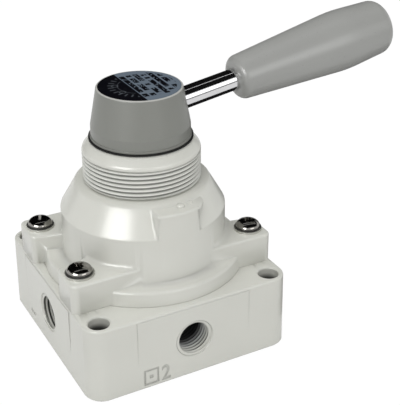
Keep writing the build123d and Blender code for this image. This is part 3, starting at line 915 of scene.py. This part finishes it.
def carved(work: bmesh.types.BMesh, cutter: bmesh.types.BMesh) -> bmesh.types.BMesh:
    """Cut one solid out of another.

    Args:
        work: The solid that stays; it is freed.
        cutter: The solid that goes; it is freed.

    Returns:
        What is left of the first.
    """
    body = for_a_moment(work, "carved_body")
    tool = for_a_moment(cutter, "carving_tool")
    cut = body.modifiers.new("cut", "BOOLEAN")
    cut.object = tool
    cut.operation = "DIFFERENCE"
    cut.solver = "EXACT"
    cut.use_self = True
    bpy.context.view_layer.update()
    left = bpy.data.meshes.new_from_object(body.evaluated_get(bpy.context.evaluated_depsgraph_get()))
    made = bmesh.new()
    made.from_mesh(left)
    bpy.data.meshes.remove(left)
    bpy.data.objects.remove(body)
    bpy.data.objects.remove(tool)
    bmesh.ops.remove_doubles(made, verts=made.verts, dist=SAME_PLACE)
    bmesh.ops.dissolve_degenerate(made, dist=0.003 * MM, edges=made.edges)
    return made


def add_block(work: bmesh.types.BMesh, size: Sequence[float], centre: Sequence[float]) -> None:
    """Add a box.

    Args:
        work: The mesh to add to.
        size: Its three lengths in metres.
        centre: Its middle in metres.
    """
    verts = bmesh.ops.create_cube(work, size=1.0)["verts"]
    bmesh.ops.scale(work, vec=size, verts=verts)
    bmesh.ops.translate(work, vec=centre, verts=verts)


def add_digit(work: bmesh.types.BMesh, digit: str, size: Sequence[float], bold: float,
              matrix: Matrix) -> None:
    """Add a plain digit as a solid that faces +Z, its middle at the matrix's origin.

    Args:
        work: The mesh to add to.
        digit: The digit.
        size: Its width, height and thickness in metres.
        bold: How far its strokes are fattened, as a share of its size.
        matrix: Where it goes.
    """
    curve = bpy.data.curves.new("digit", "FONT")
    curve.body = digit
    curve.size = 1.0
    curve.offset = bold
    curve.extrude = 0.5
    curve.resolution_u = 6
    source = put("digit", curve)
    bpy.context.view_layer.update()
    mesh = bpy.data.meshes.new_from_object(source)
    bpy.data.objects.remove(source)
    fresh = added(work, mesh)
    bpy.data.meshes.remove(mesh)
    bmesh.ops.remove_doubles(work, verts=fresh, dist=0.0001)
    fresh = [v for v in fresh if v.is_valid]
    low = Vector([min(v.co[i] for v in fresh) for i in range(3)])
    high = Vector([max(v.co[i] for v in fresh) for i in range(3)])
    scale = Matrix.Diagonal((*(wanted / drawn for wanted, drawn in zip(size, high - low)), 1.0))
    placed(work, fresh, matrix @ scale @ Matrix.Translation(-(low + high) / 2))


@dataclass(frozen=True)
class Thread:
    """A thread as a closed sleeve about Z: teeth on one face, a plain wall on the other."""

    crest: float
    root: float
    wall: float
    pitch: float
    length: float
    steps: int = 96

    def sleeve(self, work: bmesh.types.BMesh) -> List[bmesh.types.BMVert]:
        """Add the sleeve from height 0 to its length.

        Args:
            work: The mesh to add to.

        Returns:
            The sleeve's vertices.
        """
        own = bmesh.new()
        flat, flank = 0.17 * self.pitch, 0.33 * self.pitch
        outline = []
        for turn in range(-2, math.ceil(self.length / self.pitch) + 1):
            low = turn * self.pitch
            outline += [
                (self.crest, low), (self.crest, low + flat),
                (self.root, low + flat + flank), (self.root, low + 2 * flat + flank),
            ]
        turned(own, outline, self.steps, self.pitch, closed=False)
        sliced(own, 0.0, drop_under=True)
        sliced(own, self.length, drop_over=True)
        bmesh.ops.remove_doubles(own, verts=own.verts, dist=SAME_PLACE)
        walled(own, (0.0, self.length), self.wall)
        bmesh.ops.recalc_face_normals(own, faces=own.faces)
        mesh = as_mesh(own, "sleeve")
        fresh = added(work, mesh)
        bpy.data.meshes.remove(mesh)
        return fresh


# ---------------------------------------------------------------- housing
@dataclass
class Base:
    """The base casting with its pipe threads and sunk marks."""

    thread_crest: float = 5.70 * MM
    thread_pitch: float = 1.337 * MM
    root_gap: float = 0.08 * MM
    wall_gap: float = 0.03 * MM
    mark_height: float = 5.9 * MM
    mark_middle: float = 4.35 * MM
    mark_depth: float = 0.34 * MM
    square_x: float = -16.2 * MM
    square_width: float = 5.4 * MM
    stroke: float = 0.62 * MM
    digit: str = "2"
    digit_x: float = -10.9 * MM
    digit_width: float = 3.1 * MM
    digit_bold: float = 0.018
    bar_length: float = 4.2 * MM
    bar_stroke: float = 1.0 * MM
    bar_y: float = 16.3 * MM
    bar_middle: float = 4.6 * MM

    def build(self) -> None:
        """Add the casting and the threads in every port."""
        self.casting()
        for row in frame["record"]["mounts"]:
            if row["kind"] == "threaded_hole":
                self.thread(row)

    def casting(self) -> None:
        """Copy the CAD casting and sink the marks."""
        work = carved(merged_copy("base_body"), self.marks())
        piece(work, "base_casting", "painted_casting", "housing", 22.0, ["base_body"], flat_sides=True)

    def thread(self, row: Dict) -> None:
        """Cut-thread ridges inside one port.

        Args:
            row: The port's row among the record's mounts.
        """
        wall = row["dims"]["r_mm"] * MM
        length = row["dims"]["length_mm"] * MM
        axis = Vector(row["axis"])
        turn = axis.to_track_quat("Z", "Y").to_matrix().to_4x4()
        start = Vector(row["pos_m"]) - axis * length / 2
        root, back = wall - self.root_gap, wall - self.wall_gap
        form = Thread(self.thread_crest, root, back, self.thread_pitch, length)
        work = bmesh.new()
        placed(work, form.sleeve(work), Matrix.Translation(start) @ turn)
        name = row["name"] + "_thread"
        piece(work, name, "painted_casting", "housing", 25.0, finish="painted_thread")

    def marks(self) -> bmesh.types.BMesh:
        """What is sunk into the casting: a plain square and number in front, a short bar on the left.

        Returns:
            The marks as solids that reach out through the faces.
        """
        low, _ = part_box("base_body")
        work = bmesh.new()
        reach = 4 * self.mark_depth
        inset = self.mark_depth - reach / 2
        front, left = low.y + inset, low.x + inset
        half_x = (self.square_width - self.stroke) / 2
        half_z = (self.mark_height - self.stroke) / 2
        upright = (self.stroke, reach, self.mark_height)
        level = (self.square_width - 2 * self.stroke, reach, self.stroke)
        for side in (-1, 1):
            add_block(work, upright, (self.square_x + side * half_x, front, self.mark_middle))
            add_block(work, level, (self.square_x, front, self.mark_middle + side * half_z))
        add_block(work, (self.stroke * 2, reach, self.stroke * 2), (self.square_x, front, self.mark_middle))
        place = Matrix.Translation((self.digit_x, front, self.mark_middle))
        facing = Matrix.Rotation(math.pi / 2, 4, "X")
        size = (self.digit_width, self.mark_height, reach)
        add_digit(work, self.digit, size, self.digit_bold, place @ facing)
        add_block(work, (reach, self.bar_length, self.bar_stroke), (left, self.bar_y, self.bar_middle))
        return work


@dataclass
class Bonnet:
    """The bonnet casting with the real panel thread cut into its neck."""

    thread_stops: Tuple[float, float] = (0.10 * MM, 0.05 * MM)
    root_radius: float = 19.05 * MM
    core_radius: float = 18.8 * MM
    core_gap: float = 0.05 * MM
    pitch: float = 1.5 * MM
    dome_radius: float = 28.3 * MM
    shoulder: float = 48.1 * MM
    cone_top: float = 57.0 * MM
    cone_radius: float = 23.2 * MM
    cone_cover: float = 0.1 * MM
    pad_half: float = 7.4 * MM
    pad_top: float = 56.5 * MM
    pad_edge: float = 0.8 * MM
    pad_cover: float = 0.02 * MM
    blend: float = 1.5
    lap: float = 1.2 * MM
    dots: Tuple[Tuple[str, float, float, float], ...] = (
        ("position_dot", 2.1 * MM, -24.2 * MM, 1.35 * MM),
        ("position_dot_small", 6.2 * MM, -23.2 * MM, 0.7425 * MM),
    )

    def build(self) -> None:
        """Build the casting, its thread, the flat's run-out and the position marks."""
        row = mount("panel_thread")
        radius = row["dims"]["r_mm"] * MM
        half = row["dims"]["length_mm"] * MM / 2
        stop_low, stop_high = self.thread_stops
        span = (row["pos_m"][2] - half + stop_low, row["pos_m"][2] + half - stop_high)
        self.casting(radius, span)
        self.thread(radius, span)
        self.pad_blend()
        for name, x, y, dot_radius in self.dots:
            self.dot(name, x, y, dot_radius)

    def casting(self, radius: float, span: Tuple[float, float]) -> None:
        """Copy the CAD casting and take the neck's plain wall down to the thread's core.

        Args:
            radius: The neck's radius.
            span: The thread's two ends, as heights.
        """
        work = merged_copy("bonnet")
        for height in span:
            sliced(work, height)
        slack = 0.01 * MM
        low, high = span[0] - slack, span[1] + slack
        wall = [
            face for face in work.faces
            if all(low < v.co.z < high and v.co.xy.length > radius - 10 * slack for v in face.verts)
        ]
        bmesh.ops.delete(work, geom=wall, context="FACES")
        walled(work, span, self.core_radius)
        piece(work, "bonnet_casting", "painted_casting", "housing", 40.0, ["bonnet"])

    def thread(self, radius: float, span: Tuple[float, float]) -> None:
        """Put the turns of the thread round the core.

        Args:
            radius: The neck's radius.
            span: The thread's two ends, as heights.
        """
        low, high = span
        form = Thread(radius, self.root_radius, self.core_radius - self.core_gap, self.pitch, high - low, 128)
        work = bmesh.new()
        placed(work, form.sleeve(work), Matrix.Translation((0, 0, low)))
        piece(work, "neck_thread", "painted_casting", "housing", 60.0, finish="painted_thread")

    def pad_blend(self) -> None:
        """The soft run-out between the indicator flat's right wall and the cone."""
        work = bmesh.new()
        rows = 24
        rise = self.pad_top + self.pad_cover - self.shoulder
        rings = [
            [work.verts.new(place) for place in self.blend_ring(self.shoulder + rise * row / rows)]
            for row in range(rows + 1)
        ]
        for low, high in zip(rings, rings[1:]):
            for i in range(len(low)):
                work.faces.new((low[i - 1], low[i], high[i], high[i - 1]))
        work.faces.new(rings[0])
        work.faces.new(rings[-1])
        piece(work, "pad_run_out", "painted_casting", "housing", 40.0, finish="painted_thread")

    def blend_ring(self, height: float) -> List[Tuple[float, float, float]]:
        """The run-out's outline at one height: a curve from the wall to the cone, and a corner inside.

        Args:
            height: The height in metres.

        Returns:
            The outline's corners.
        """
        share = (height - self.shoulder) / (self.cone_top - self.shoulder)
        cone = self.dome_radius + (self.cone_radius - self.dome_radius) * share - self.cone_cover
        over = max(0.0, height - (self.pad_top - self.pad_edge))
        rounding = self.pad_edge - math.sqrt(max(0.0, self.pad_edge ** 2 - over ** 2))
        wall = self.dome_radius + self.pad_cover - rounding
        first = math.asin((self.pad_half - self.lap) / wall)
        sweep = self.blend * (wall - cone) / cone
        steps = 8
        curve = [
            (first + sweep * step / steps, wall + (cone - wall) * (step / steps) ** 2)
            for step in range(steps + 1)
        ]
        curve.append((first, cone - 0.5 * MM))
        return [(radius * math.sin(turn), -radius * math.cos(turn), height) for turn, radius in curve]

    def dot(self, name: str, x: float, y: float, radius: float) -> None:
        """A raised dot on the indicator flat.

        Args:
            name: The dot's name.
            x: Its place along X.
            y: Its place along Y.
            radius: Its radius.
        """
        work = bmesh.new()
        height = radius * 0.7
        foot = -0.3 * MM
        outline = [
            (0.0, foot), (radius, foot), (radius, height * 0.35),
            (radius * 0.86, height * 0.72), (radius * 0.55, height * 0.95), (0.0, height),
        ]
        placed(work, turned(work, outline, 32), Matrix.Translation((x, y, self.pad_top)))
        piece(work, name, "painted_casting", "housing", 40.0, finish="painted_thread")


@dataclass
class Wiper:
    """The black wiper ring: its flange fills most of the gap between neck and hub."""

    lip: float = 0.55 * MM
    bush_gap: float = 1.0 * MM
    seat_gap: float = 0.02 * MM
    hub_gap: float = 0.06 * MM

    def build(self) -> None:
        """Turn the ring inside the CAD ring's recess and under the hub."""
        low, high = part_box("dust_ring")
        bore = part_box("shaft_bush")[1].x + self.bush_gap
        neck_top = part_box("bonnet")[1].z + self.seat_gap
        hub_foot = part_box("hub")[0].z
        top = hub_foot - self.hub_gap
        hub_verts = frame["nodes"]["hub"].data.vertices
        foot = [v.co.xy.length for v in hub_verts if v.co.z < hub_foot + self.hub_gap]
        flange = max(foot) + self.lip
        work = bmesh.new()
        turned(work, [
            (bore, low.z), (high.x, low.z), (high.x, neck_top), (flange, neck_top),
            (flange, top), (bore, top),
        ], 96)
        piece(work, "wiper_ring", "black_rubber", "housing", 40.0, ["dust_ring"])


@dataclass
class CoverScrews:
    """Four pan head screws with cross recesses."""

    head_radius: float = 4.3 * MM
    head_height: float = 2.8 * MM
    shank_radius: float = 2.5 * MM
    tip_length: float = 0.8 * MM
    recess_reach: float = 2.3 * MM
    recess_width: float = 1.0 * MM
    recess_depth: float = 2.0 * MM
    recess_above: float = 0.6 * MM
    wing_taper: Tuple[float, float] = (0.42, 0.72)
    core_radii: Tuple[float, float] = (0.35 * MM, 1.15 * MM)
    core_point: float = 0.4 * MM
    turns_deg: Tuple[float, float, float, float] = (22.0, 68.0, 8.0, 47.0)

    def build(self) -> None:
        """Build the four screws as one piece."""
        low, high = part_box("cover_screws")
        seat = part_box("screw_washers")[1].z
        reach_x = high.x - self.head_radius
        reach_y = high.y - self.head_radius
        corners = [(sx * reach_x, sy * reach_y) for sx in (-1, 1) for sy in (-1, 1)]
        one = self.screw(seat - low.z)
        work = bmesh.new()
        for (x, y), turn in zip(corners, self.turns_deg):
            place = Matrix.Translation((x, y, seat)) @ Matrix.Rotation(math.radians(turn), 4, "Z")
            placed(work, added(work, one), place)
        bpy.data.meshes.remove(one)
        piece(work, "pan_screws", "plated_screw", "housing", 38.0, ["cover_screws"])

    def screw(self, length: float) -> bpy.types.Mesh:
        """One screw, the underside of its head at height 0.

        Args:
            length: How far the shank reaches down.

        Returns:
            The screw's mesh.
        """
        work = bmesh.new()
        r, h = self.head_radius, self.head_height
        dome = []
        steps = 8
        for step in range(steps):
            angle = math.pi / 2 * step / steps
            dome.append((r * math.cos(angle) ** 0.85, h * (0.12 + 0.88 * math.sin(angle))))
        outline = [
            (0.0, -length), (self.shank_radius * 0.7, -length), (self.shank_radius, self.tip_length - length),
            (self.shank_radius, 0.0), (r * 0.95, 0.0), (r, 0.05 * h), *dome, (0.0, h),
        ]
        turned(work, outline, 48)
        return as_mesh(carved(work, self.recess()), "screw")

    def recess(self) -> bmesh.types.BMesh:
        """The cross-shaped punch: two tapered wings and a pointed core.

        Returns:
            The punch, in its place over one screw's head.
        """
        work = bmesh.new()
        depth = self.recess_depth + self.recess_above
        middle = self.head_height + self.recess_above - depth / 2
        taper_x, taper_y = self.wing_taper
        for turn in (0.0, math.pi / 2):
            wing = bmesh.ops.create_cube(work, size=1.0)["verts"]
            bmesh.ops.scale(work, vec=(2 * self.recess_reach, self.recess_width, depth), verts=wing)
            for vert in wing:
                if vert.co.z < 0:
                    vert.co.x *= taper_x
                    vert.co.y *= taper_y
            placed(work, wing, Matrix.Translation((0, 0, middle)) @ Matrix.Rotation(turn, 4, "Z"))
        point, mouth = self.core_radii
        core = bmesh.ops.create_cone(
            work, cap_ends=True, segments=8, radius1=point, radius2=mouth, depth=depth + self.core_point,
        )["verts"]
        placed(work, core, Matrix.Translation((0, 0, middle - self.core_point / 2)))
        return work


# ---------------------------------------------------------------- carried-over pieces
class CarriedPieces:
    """The CAD pieces that keep their own shape and get their finish from the record's slots."""

    def build(self) -> None:
        """Dress every CAD node."""
        for row in frame["record"]["subparts"]:
            node = frame["nodes"][row["node"]]
            slot = row["material_slot"]
            node.data.materials.clear()
            node.data.materials.append(finish_of(slot))
            log.info("%s dressed in %s", row["node"], slot)


# ---------------------------------------------------------------- studio
class Reach(Enum):
    """What a soft box is seen by."""

    GLOSS = "gloss"
    DIFFUSE = "diffuse"


@dataclass(frozen=True)
class SoftBox:
    """An area light that faces the object; its radiance stays the same when its size changes."""

    name: str
    place: Tuple[float, float, float]
    size: Tuple[float, float]
    radiance: float
    reach: Reach

    def build(self) -> None:
        """Stand the light in its place."""
        width, height = self.size
        data = bpy.data.lights.new(self.name, "AREA")
        data.shape = "RECTANGLE"
        data.size = width
        data.size_y = height
        data.energy = self.radiance * width * height * math.pi / 4
        made = put(self.name, data)
        made.location = self.place
        sight = Vector((0, 0, 0.05)) - Vector(self.place)
        made.rotation_euler = sight.to_track_quat("-Z", "Y").to_euler()
        made.visible_diffuse = self.reach is Reach.DIFFUSE
        made.visible_glossy = self.reach is Reach.GLOSS


@dataclass(frozen=True)
class Card:
    """A black card that only gloss can see, tipped up about X; cards draw the dark bands on plated metal."""

    name: str
    place: Tuple[float, float, float]
    half: Tuple[float, float]
    tip_deg: float = 0.0
    tone: Colour = (0.01, 0.01, 0.01)

    def build(self) -> None:
        """Stand the card in its place."""
        work = bmesh.new()
        bmesh.ops.create_grid(work, x_segments=1, y_segments=1, size=1.0)
        size = Matrix.Diagonal((*self.half, 1.0, 1.0))
        turn = Matrix.Rotation(math.radians(self.tip_deg), 4, "X")
        placed(work, work.verts, Matrix.Translation(self.place) @ turn @ size)
        material, graph = new_material(self.name)
        paper = graph.node("BsdfDiffuse", None, {"Color": self.tone})
        graph.node("OutputMaterial", None, {"Surface": paper.outputs[0]})
        mesh = as_mesh(work, self.name)
        mesh.materials.append(material)
        made = put(self.name, mesh)
        made.visible_camera = False
        made.visible_diffuse = False
        made.visible_shadow = False
        made.visible_transmission = False


@dataclass
class Studio:
    """A pale floor, a white surround, soft boxes, cards and the camera."""

    eye: Tuple[float, float, float] = (-123.11, -267.12, 200.84)
    target: Tuple[float, float, float] = (22.41, 0.0, 41.81)
    lens: float = 85.2
    sensor: float = 36.0
    surround: float = 0.60
    floor_half: float = 3.0
    floor_gap: float = 0.05 * MM
    paper: Colour = (0.86, 0.86, 0.86)
    white: Colour = (1.0, 1.0, 1.0)
    boxes: Tuple[SoftBox, ...] = (
        SoftBox("side_fill", (-0.85, -0.10, 0.40), (0.60, 0.50), 0.8, Reach.DIFFUSE),
        SoftBox("key", (-0.50, -0.40, 0.85), (0.60, 0.60), 8.6, Reach.DIFFUSE),
        SoftBox("overhead", (-0.10, 0.10, 1.10), (0.80, 0.80), 7.0, Reach.DIFFUSE),
        SoftBox("front_fill", (0.05, -1.00, 0.35), (0.70, 0.50), 5.5, Reach.DIFFUSE),
        SoftBox("front_gleam", (0.26, -0.95, 0.46), (0.60, 0.42), 8.0, Reach.GLOSS),
        SoftBox("shoulder_gleam", (-0.61, -0.31, 0.40), (0.46, 0.30), 40.0, Reach.GLOSS),
    )
    cards: Tuple[Card, ...] = (
        Card("card_front", (0.1, -0.40, 0.85), (1.7, 0.43)),
        Card("card_back", (0.1, 1.72, 0.85), (1.7, 1.64)),
        Card("card_low", (0.0, -1.10, 0.06), (1.6, 0.06), 90.0),
        Card("card_behind", (0.9, 1.25, 0.36), (1.7, 0.36), 90.0),
        Card("card_under", (0.14, 0.055, 0.0008), (0.09, 0.10)),
    )

    def build(self) -> None:
        """Set the stage."""
        self.camera()
        self.floor()
        self.world()
        for stand in (*self.boxes, *self.cards):
            stand.build()
        bpy.context.scene.view_settings.view_transform = "Standard"

    def camera(self) -> None:
        """The camera, straight at its target."""
        data = bpy.data.cameras.new("camera")
        data.lens = self.lens
        data.sensor_width = self.sensor
        data.clip_start = 0.01
        made = put("camera", data)
        made.location = Vector(self.eye) * MM
        sight = (Vector(self.target) - Vector(self.eye)) * MM
        made.rotation_euler = sight.to_track_quat("-Z", "Y").to_euler()
        bpy.context.scene.camera = made

    def floor(self) -> None:
        """A plane under the base: white to the camera, apart from the object's soft shadow."""
        work = bmesh.new()
        bmesh.ops.create_grid(work, x_segments=1, y_segments=1, size=self.floor_half)
        bmesh.ops.translate(work, verts=work.verts, vec=(0, 0, -self.floor_gap))
        material, graph = new_material("floor")
        rays = graph.node("LightPath")
        seen = Value(graph, rays.outputs["Is Camera Ray"])
        paper = graph.node("BsdfDiffuse", None, {"Color": self.paper})
        glow = graph.node("Emission", None, {"Color": self.white, "Strength": 1.03})
        blend = graph.node("MixShader", None, {0: seen * 0.93, 1: paper.outputs[0], 2: glow.outputs[0]})
        graph.node("OutputMaterial", None, {"Surface": blend.outputs[0]})
        mesh = as_mesh(work, "floor")
        mesh.materials.append(material)
        put("floor", mesh)

    def world(self) -> None:
        """White to camera, gloss and glass; an even soft light to everything else."""
        world = bpy.data.worlds.new("surround")
        world.use_nodes = True
        graph = Graph(world.node_tree)
        rays = graph.node("LightPath")
        lit = Value(graph, rays.outputs["Is Camera Ray"])
        lit = lit.largest(Value(graph, rays.outputs["Is Glossy Ray"]))
        lit = lit.largest(Value(graph, rays.outputs["Is Transmission Ray"]))
        strength = lit * (1.0 - self.surround) + self.surround
        back = graph.node("Background", None, {"Color": self.white, "Strength": strength})
        graph.node("OutputWorld", None, {"Surface": back.outputs[0]})
        bpy.context.scene.world = world


def clear_startup() -> None:
    """Remove what Blender starts with."""
    kept = set(frame["bodies"].values()) | set(frame["nodes"].values())
    for stray in [o for o in bpy.data.objects if o not in kept]:
        bpy.data.objects.remove(stray)


def main() -> None:
    """Build and dress the valve, and light it."""
    clear_startup()
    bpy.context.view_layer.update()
    for assembly in (CarriedPieces(), Base(), Bonnet(), Wiper(), CoverScrews(), Studio()):
        assembly.build()


if __name__ == "__main__":
    logging.basicConfig(level=logging.INFO, format="%(message)s")
    main()
